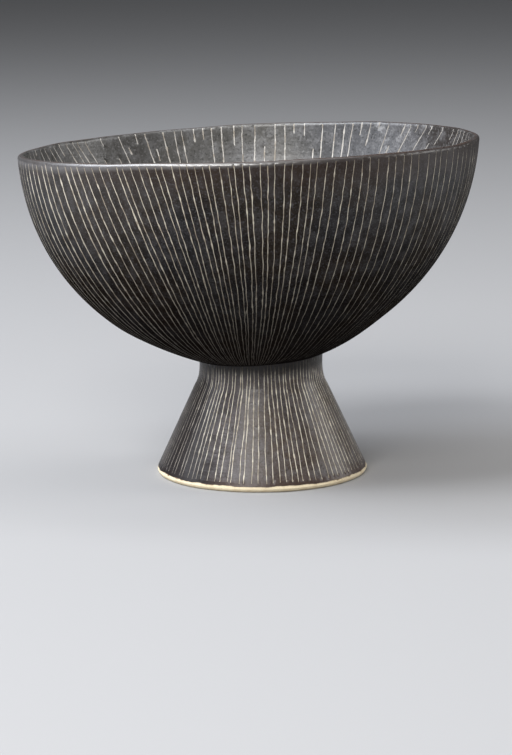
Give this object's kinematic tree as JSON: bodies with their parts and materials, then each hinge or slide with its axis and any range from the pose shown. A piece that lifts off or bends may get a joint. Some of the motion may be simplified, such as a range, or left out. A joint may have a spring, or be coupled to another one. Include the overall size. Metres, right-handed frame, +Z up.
{
  "type": "footed bowl",
  "caption": "Round stoneware bowl on a tall flared hollow foot, in dark slip with fine upright lines scratched through to pale clay, and a bare standing ring.",
  "frame": {"origin": "under the middle of the bowl's rim, on the surface that the pot stands on", "axes": "+Z up from the standing ring to the rim, +X towards the side where the rim stands highest, -Y towards the viewer of the picture"},
  "size_m": [0.2306, 0.2306, 0.1712],
  "materials": {
    "clay": "bare fired clay, matte, pale cream",
    "dark_slip": "satin charcoal slip, slightly mottled",
    "rim_slip": "satin charcoal slip, browner at the lip's inner edge",
    "inside_glaze": "grey semi-gloss glaze with pits and pale blisters"
  },
  "bodies": {
    "root": {"bowl_body": "clay", "bowl_outer_coat": "dark_slip", "rim_band": "rim_slip", "bowl_inner_coat": "inside_glaze", "foot_body": "clay", "foot_outer_coat": "dark_slip", "foot_inner_coat": "dark_slip", "luting_slip": "clay"}
  },
  "joints": []
}
